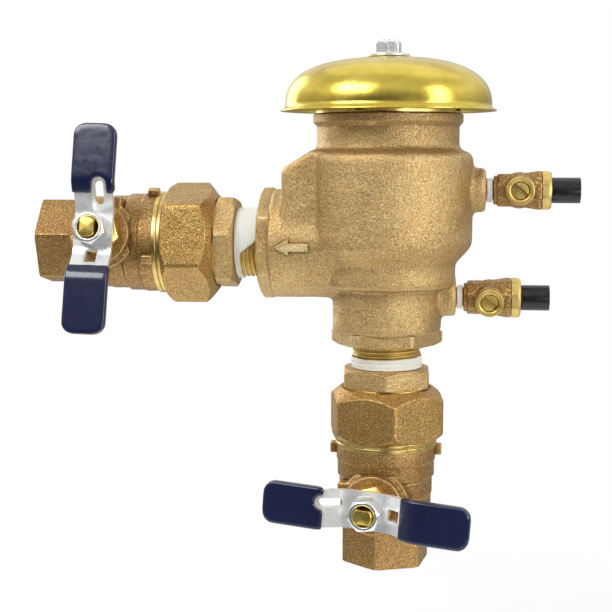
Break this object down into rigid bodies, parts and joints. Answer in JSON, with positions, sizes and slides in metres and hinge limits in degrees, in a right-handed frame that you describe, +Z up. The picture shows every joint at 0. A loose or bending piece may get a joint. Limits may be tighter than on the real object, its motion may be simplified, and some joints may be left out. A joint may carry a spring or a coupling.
{
  "type": "backflow preventer",
  "caption": "Angle-pattern bronze pressure vacuum breaker with a brass hood, union ball-valve shutoffs with blue tee handles, and side test cocks.",
  "frame": {"origin": "centre of the inlet pipe end, on the vertical axis, at the lower face of the inlet ball valve", "axes": "+Z up the inlet line to the hood; -X along the outlet line; -Y to the front, where the handles and test-cock heads face"},
  "size_m": [0.2611, 0.1066, 0.2548],
  "materials": {
    "cast_bronze": "sand-cast bronze, light tan, fine sparkling grain",
    "valve_bronze": "sand-cast bronze, redder brown",
    "machined_brass": "bright turned brass",
    "hood_brass": "polished brass",
    "zinc_plate": "bright zinc plating",
    "stainless": "turned stainless steel",
    "vinyl": "dark blue dipped vinyl, glossy",
    "ptfe": "white PTFE",
    "rubber": "black rubber",
    "black_plastic": "black moulded plastic",
    "acetal": "off-white moulded plastic"
  },
  "bodies": {
    "root": {"body": "cast_bronze", "bonnet": "machined_brass", "bonnet_o_ring": "rubber", "bonnet_stud": "machined_brass", "canopy": "hood_brass", "canopy_washer": "zinc_plate", "canopy_nut": "zinc_plate", "check_spring": "stainless", "guide_plate": "acetal", "air_spring": "stainless", "inlet_valve_body": "valve_bronze", "inlet_ball_seat_a": "ptfe", "inlet_ball_seat_b": "ptfe", "inlet_stem_packing": "ptfe", "inlet_packing_nut": "machined_brass", "inlet_valve_adapter": "valve_bronze", "inlet_union_nut": "cast_bronze", "inlet_union_gasket": "rubber", "inlet_union_tailpiece": "cast_bronze", "inlet_thread_tape": "ptfe", "outlet_valve_body": "valve_bronze", "outlet_ball_seat_a": "ptfe", "outlet_ball_seat_b": "ptfe", "outlet_stem_packing": "ptfe", "outlet_packing_nut": "machined_brass", "outlet_valve_adapter": "valve_bronze", "outlet_union_nut": "cast_bronze", "outlet_union_gasket": "rubber", "outlet_union_tailpiece": "cast_bronze", "outlet_thread_tape": "ptfe", "upper_cock_tape": "ptfe", "upper_cock_body": "valve_bronze", "upper_cock_gland": "machined_brass", "upper_cock_cap": "black_plastic", "lower_cock_tape": "ptfe", "lower_cock_body": "valve_bronze", "lower_cock_gland": "machined_brass", "lower_cock_cap": "black_plastic"},
    "inlet_valve_spindle": {"inlet_ball": "stainless", "inlet_stem": "machined_brass", "inlet_handle": "zinc_plate", "inlet_grip_a": "vinyl", "inlet_grip_b": "vinyl", "inlet_handle_nut": "zinc_plate"},
    "outlet_valve_spindle": {"outlet_ball": "stainless", "outlet_stem": "machined_brass", "outlet_handle": "zinc_plate", "outlet_grip_a": "vinyl", "outlet_grip_b": "vinyl", "outlet_handle_nut": "zinc_plate"},
    "upper_cock_plug": {"upper_cock_stem": "machined_brass"},
    "lower_cock_plug": {"lower_cock_stem": "machined_brass"},
    "check_assembly": {"check_poppet": "acetal", "check_disc": "rubber", "check_retainer": "stainless"},
    "air_assembly": {"air_poppet": "acetal", "air_disc": "rubber", "air_retainer": "stainless"}
  },
  "joints": [
    {"name": "inlet_handle_turn", "type": "hinge", "parent": "root", "child": "inlet_valve_spindle", "pos_m": [0, 0, 0.0335], "axis": [0.1736, 0.9848, 0], "range_deg": [-4, 86]},
    {"name": "outlet_handle_turn", "type": "hinge", "parent": "root", "child": "outlet_valve_spindle", "pos_m": [-0.1361, 0, 0.157], "axis": [0, 0.9781, -0.2079], "range_deg": [-1.5, 88.5]},
    {"name": "upper_cock_turn", "type": "hinge", "parent": "root", "child": "upper_cock_plug", "pos_m": [0.063, 0, 0.183], "axis": [0, -1, 0], "range_deg": [-50, 40]},
    {"name": "lower_cock_turn", "type": "hinge", "parent": "root", "child": "lower_cock_plug", "pos_m": [0.0495, 0, 0.1314], "axis": [0, -0.9848, -0.1736], "range_deg": [-50, 40]},
    {"name": "check_lift", "type": "slide", "parent": "root", "child": "check_assembly", "axis": [0, 0, 1], "range_m": [0, 0.008], "stiffness_N_per_m": 60, "springref_m": -0.02, "deforming": ["check_spring"]},
    {"name": "air_lift", "type": "slide", "parent": "root", "child": "air_assembly", "axis": [0, 0, 1], "range_m": [0, 0.005], "stiffness_N_per_m": 20, "springref_m": -0.02, "deforming": ["air_spring"]}
  ]
}
